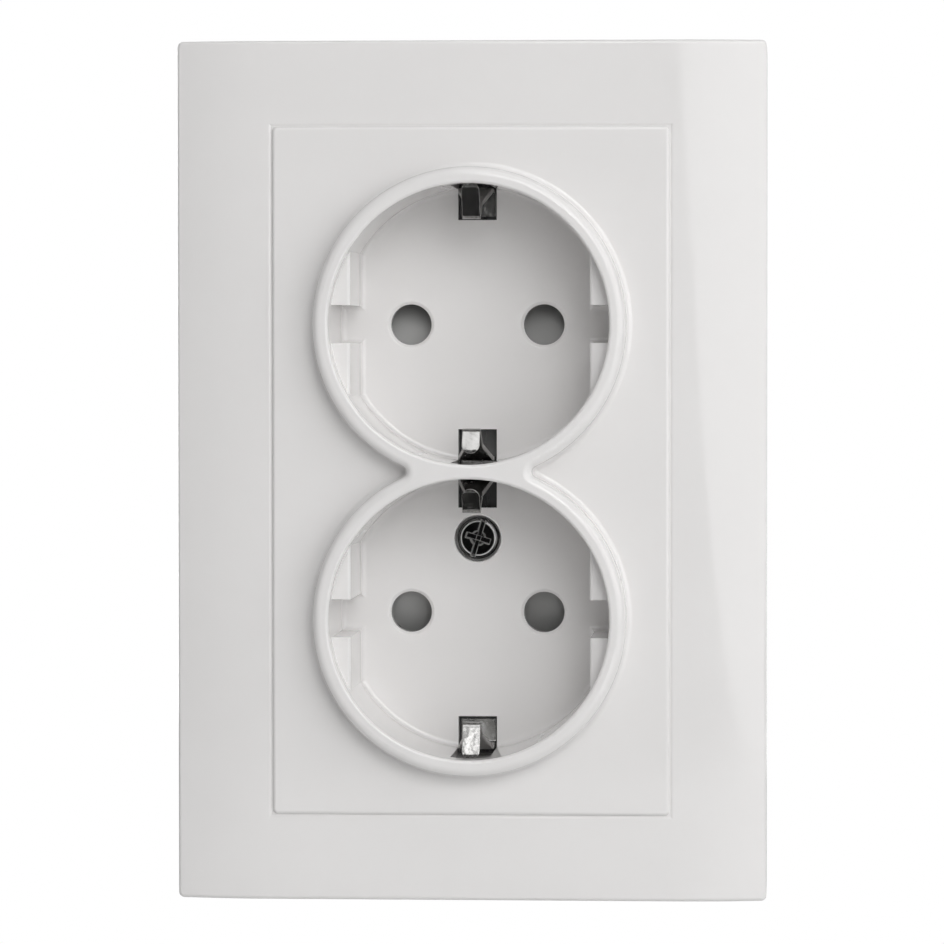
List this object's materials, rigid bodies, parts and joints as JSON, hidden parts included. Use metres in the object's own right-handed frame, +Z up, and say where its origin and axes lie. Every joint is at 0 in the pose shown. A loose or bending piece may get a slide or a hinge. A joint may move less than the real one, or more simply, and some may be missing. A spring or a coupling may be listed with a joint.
{
  "type": "double earthed wall socket",
  "caption": "Double wall socket: round recessed plug cups with earth clips and shuttered pin holes, in a plain rectangular frame, on an insert for a round wall box.",
  "frame": {"origin": "centre of the two box screw slots, in the wall plane", "axes": "+Z up, +Y into the wall, +X to the right seen from the front"},
  "size_m": [0.0826, 0.0437, 0.12],
  "materials": {
    "white_plastic": "glossy moulded white plastic",
    "insert_plastic": "matt light grey moulded plastic",
    "shutter_plastic": "matt mid grey moulded plastic",
    "button_plastic": "matt orange moulded plastic",
    "zinc_steel": "zinc plated sheet steel",
    "screw_steel": "plated screw steel",
    "spring_steel": "bare spring steel",
    "contact_brass": "bare brass sheet"
  },
  "bodies": {
    "housing": {"cover": "white_plastic", "frame": "white_plastic", "base": "insert_plastic", "rear_cover": "insert_plastic", "support_plate": "zinc_steel", "earth_strap": "zinc_steel", "cover_screw": "screw_steel", "clip_rivets": "screw_steel", "plate_rivets": "screw_steel", "base_rivets": "screw_steel", "earth_clip_top": "spring_steel", "earth_clip_middle": "spring_steel", "earth_clip_bottom": "spring_steel", "live_contact": "contact_brass", "neutral_contact": "contact_brass", "terminal_spring_live": "spring_steel", "terminal_spring_neutral": "spring_steel", "terminal_spring_earth": "spring_steel", "spring_upper_left": "spring_steel", "spring_upper_right": "spring_steel", "spring_lower_left": "spring_steel", "spring_lower_right": "spring_steel"},
    "shutter_upper": {"shutter_upper": "shutter_plastic"},
    "shutter_lower": {"shutter_lower": "shutter_plastic"},
    "claw_left": {"claw_left": "zinc_steel"},
    "claw_right": {"claw_right": "zinc_steel"},
    "claw_screw_left": {"claw_screw_left": "screw_steel"},
    "claw_screw_right": {"claw_screw_right": "screw_steel"},
    "release_button_live": {"release_button_live": "button_plastic"},
    "release_button_neutral": {"release_button_neutral": "button_plastic"},
    "release_button_earth": {"release_button_earth": "button_plastic"}
  },
  "joints": [
    {"name": "shutter_upper_slide", "type": "slide", "parent": "housing", "child": "shutter_upper", "axis": [0, 0, -1], "range_m": [0, 0.006], "stiffness_N_per_m": 120, "springref_m": -0.004, "deforming": ["spring_upper_left", "spring_upper_right"]},
    {"name": "shutter_lower_slide", "type": "slide", "parent": "housing", "child": "shutter_lower", "axis": [0, 0, 1], "range_m": [0, 0.006], "stiffness_N_per_m": 120, "springref_m": -0.004, "deforming": ["spring_lower_left", "spring_lower_right"]},
    {"name": "release_live_press", "type": "slide", "parent": "housing", "child": "release_button_live", "axis": [0, -1, 0], "range_m": [0, 0.0015], "stiffness_N_per_m": 400, "springref_m": -0.001},
    {"name": "release_neutral_press", "type": "slide", "parent": "housing", "child": "release_button_neutral", "axis": [0, -1, 0], "range_m": [0, 0.0015], "stiffness_N_per_m": 400, "springref_m": -0.001},
    {"name": "release_earth_press", "type": "slide", "parent": "housing", "child": "release_button_earth", "axis": [0, -1, 0], "range_m": [0, 0.0015], "stiffness_N_per_m": 400, "springref_m": -0.001},
    {"name": "claw_screw_left_turn", "type": "hinge", "parent": "housing", "child": "claw_screw_left", "pos_m": [-0.0238, 0, -0.009], "axis": [0, 1, 0], "range_deg": [0, 1800]},
    {"name": "claw_left_swing", "type": "hinge", "parent": "housing", "child": "claw_left", "pos_m": [-0.0238, 0.0035, -0.009], "axis": [0, 0, 1], "range_deg": [0, 25]},
    {"name": "claw_screw_right_turn", "type": "hinge", "parent": "housing", "child": "claw_screw_right", "pos_m": [0.0238, 0, -0.009], "axis": [0, 1, 0], "range_deg": [0, 1800]},
    {"name": "claw_right_swing", "type": "hinge", "parent": "housing", "child": "claw_right", "pos_m": [0.0238, 0.0035, -0.009], "axis": [0, 0, -1], "range_deg": [0, 25]}
  ],
  "couplings": [
    {"joint": "claw_left_swing", "follows": "claw_screw_left_turn", "ratio": 0.013888},
    {"joint": "claw_right_swing", "follows": "claw_screw_right_turn", "ratio": 0.013888}
  ]
}
